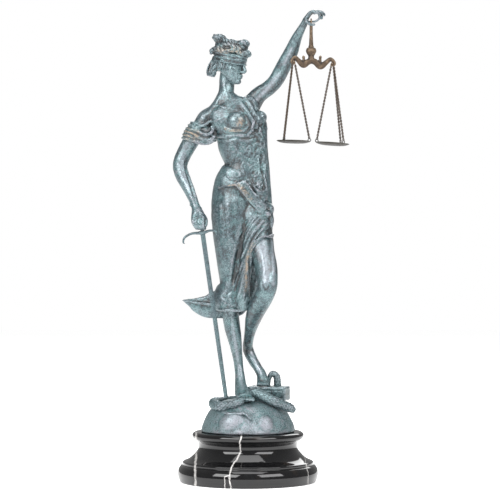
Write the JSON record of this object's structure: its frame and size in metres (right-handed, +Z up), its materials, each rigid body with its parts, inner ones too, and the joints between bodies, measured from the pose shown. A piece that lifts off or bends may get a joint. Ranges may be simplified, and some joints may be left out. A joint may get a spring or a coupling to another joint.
{
  "type": "lady justice statue",
  "caption": "Standing blindfolded justice figure with sword and scales, on a domed rock and a turned round plinth. Tabletop decoration.",
  "frame": {"origin": "centre of the plinth's underside", "axes": "+Z up, -Y to the front of the figure, +X to the side of the raised hand and the scales"},
  "size_m": [0.278, 0.2238, 0.7436],
  "materials": {
    "black_marble": "polished black with white veins",
    "verdigris_bronze": "cast bronze with a blue-green patina, dark in the hollows",
    "sword_bronze": "cast bronze with a blue-green patina",
    "aged_brass": "brown aged brass"
  },
  "bodies": {
    "root": {"marble_plinth": "black_marble", "bronze_figure": "verdigris_bronze", "sword": "sword_bronze", "scale_beam": "aged_brass", "scale_pan_left": "aged_brass", "scale_pan_right": "aged_brass", "chain_left_1": "aged_brass", "chain_left_2": "aged_brass", "chain_left_3": "aged_brass", "chain_right_1": "aged_brass", "chain_right_2": "aged_brass", "chain_right_3": "aged_brass"}
  },
  "joints": []
}
